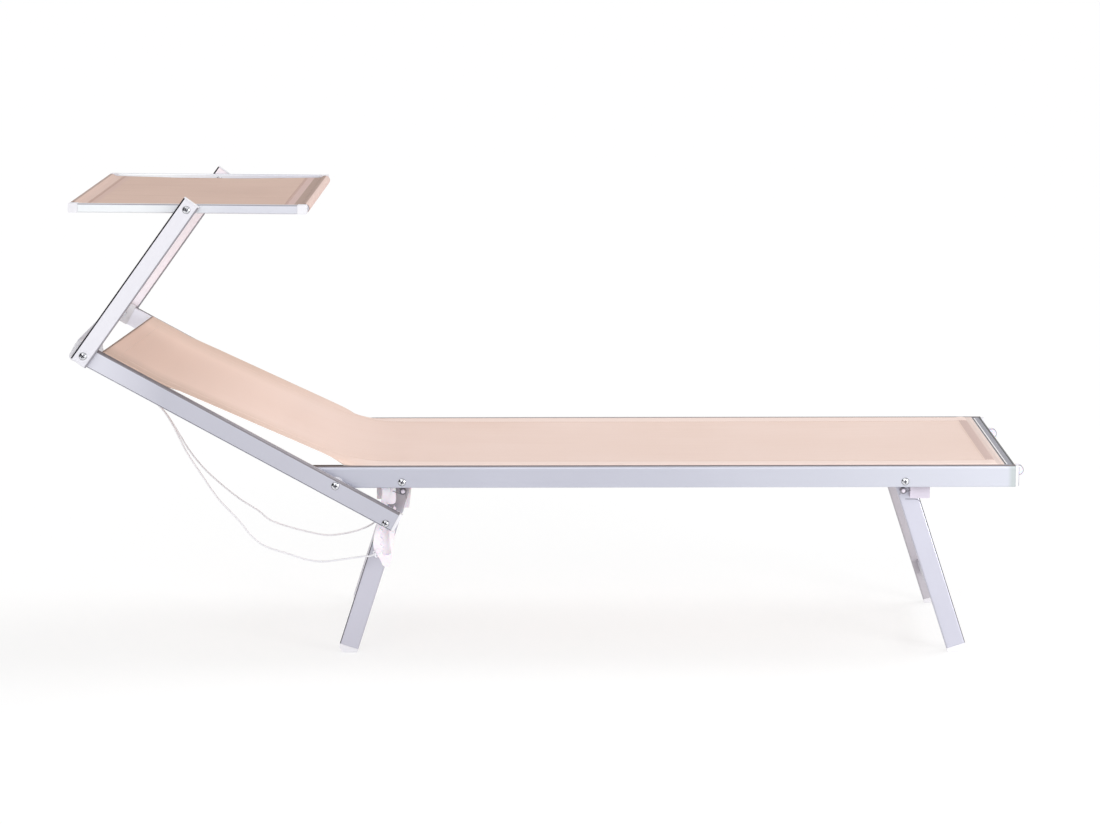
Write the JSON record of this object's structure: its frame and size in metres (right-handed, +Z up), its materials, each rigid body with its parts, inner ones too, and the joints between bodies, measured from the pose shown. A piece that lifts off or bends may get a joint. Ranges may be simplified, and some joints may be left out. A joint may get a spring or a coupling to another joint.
{
  "type": "sun lounger with canopy",
  "caption": "Folding aluminium sun lounger with a reclining fabric back, rack locks and a tilting fabric canopy on two swinging arms.",
  "frame": {"origin": "on the ground under the middle of the lounger as it stands, back raised 29 degrees, cord not counted", "axes": "+X towards the foot end, +Y towards the left side of whoever lies on it, +Z up"},
  "size_m": [1.838, 0.643, 0.9045],
  "materials": {
    "aluminium": "satin anodised",
    "steel": "zinc plated",
    "white_plastic": "semi matt white",
    "nylon": "milky nylon",
    "seat_fabric": "plain woven sling",
    "canopy_fabric": "plain woven",
    "cord": "braided"
  },
  "bodies": {
    "seat_frame": {"seat_rail_left": "aluminium", "seat_rail_right": "aluminium", "foot_crossbar": "aluminium", "foot_end_cap_left": "white_plastic", "foot_end_cap_right": "white_plastic", "foot_bumper_left": "white_plastic", "foot_bumper_right": "white_plastic", "leg_bracket_front_left": "nylon", "leg_bracket_front_right": "nylon", "leg_bracket_rear_left": "nylon", "leg_bracket_rear_right": "nylon", "leg_hinge_bolt_front_left": "steel", "leg_hinge_bolt_front_right": "steel", "leg_hinge_bolt_rear_left": "steel", "leg_hinge_bolt_rear_right": "steel", "seat_sling": "seat_fabric", "pivot_spacer_left": "white_plastic", "pivot_spacer_right": "white_plastic", "back_pivot_bolt_left": "steel", "back_pivot_bolt_right": "steel", "release_cord": "cord"},
    "front_legs": {"front_leg_left": "aluminium", "front_leg_right": "aluminium", "front_leg_crossbar": "aluminium", "front_foot_left": "white_plastic", "front_foot_right": "white_plastic"},
    "rear_legs": {"rear_leg_left": "aluminium", "rear_leg_right": "aluminium", "rear_leg_crossbar": "aluminium", "rear_foot_left": "white_plastic", "rear_foot_right": "white_plastic"},
    "backrest": {"back_rail_left": "aluminium", "back_rail_right": "aluminium", "head_crossbar": "aluminium", "head_corner_left": "white_plastic", "head_corner_right": "white_plastic", "back_rail_plug_left": "white_plastic", "back_rail_plug_right": "white_plastic", "lock_pin_left": "nylon", "lock_pin_right": "nylon", "back_sling": "seat_fabric", "sling_bend": "seat_fabric", "cord_eye": "white_plastic", "arm_pivot_bolt_left": "steel", "arm_pivot_bolt_right": "steel"},
    "rack_left": {"lock_rack_left": "nylon"},
    "rack_right": {"lock_rack_right": "nylon"},
    "canopy_arms": {"canopy_arm_left": "aluminium", "canopy_arm_right": "aluminium", "canopy_pivot_bolt_left": "steel", "canopy_pivot_bolt_right": "steel"},
    "canopy": {"canopy_rail_left": "aluminium", "canopy_rail_right": "aluminium", "canopy_tube_head": "aluminium", "canopy_tube_foot": "aluminium", "canopy_corner_head_left": "white_plastic", "canopy_corner_head_right": "white_plastic", "canopy_corner_foot_left": "white_plastic", "canopy_corner_foot_right": "white_plastic", "canopy_sling": "canopy_fabric"}
  },
  "joints": [
    {"name": "backrest_recline", "type": "hinge", "parent": "seat_frame", "child": "backrest", "pos_m": [-0.414, 0, 0.347], "axis": [0, 1, 0], "range_deg": [-29, 41], "deforming": ["sling_bend", "release_cord"]},
    {"name": "rack_left_swing", "type": "hinge", "parent": "seat_frame", "child": "rack_left", "pos_m": [-0.318, 0.254, 0.3444], "axis": [0, 1, 0], "range_deg": [-22.7, 32.1]},
    {"name": "rack_right_swing", "type": "hinge", "parent": "seat_frame", "child": "rack_right", "pos_m": [-0.318, -0.254, 0.3444], "axis": [0, 1, 0], "range_deg": [-22.7, 32.1]},
    {"name": "front_leg_fold", "type": "hinge", "parent": "seat_frame", "child": "front_legs", "pos_m": [0.682, 0, 0.35], "axis": [0, 1, 0], "range_deg": [0, 108]},
    {"name": "rear_leg_fold", "type": "hinge", "parent": "seat_frame", "child": "rear_legs", "pos_m": [-0.287, 0, 0.35], "axis": [0, -1, 0], "range_deg": [0, 108]},
    {"name": "canopy_arm_swing", "type": "hinge", "parent": "backrest", "child": "canopy_arms", "pos_m": [-0.88979, 0, 0.6025], "axis": [0, 1, 0], "range_deg": [-60, 40]},
    {"name": "canopy_tilt", "type": "hinge", "parent": "canopy_arms", "child": "canopy", "pos_m": [-0.687, 0, 0.88161], "axis": [0, 1, 0], "range_deg": [-50, 30]}
  ],
  "couplings": [
    {"joint": "rack_left_swing", "follows": "backrest_recline", "ratio": 0.78},
    {"joint": "rack_right_swing", "follows": "backrest_recline", "ratio": 0.78}
  ]
}
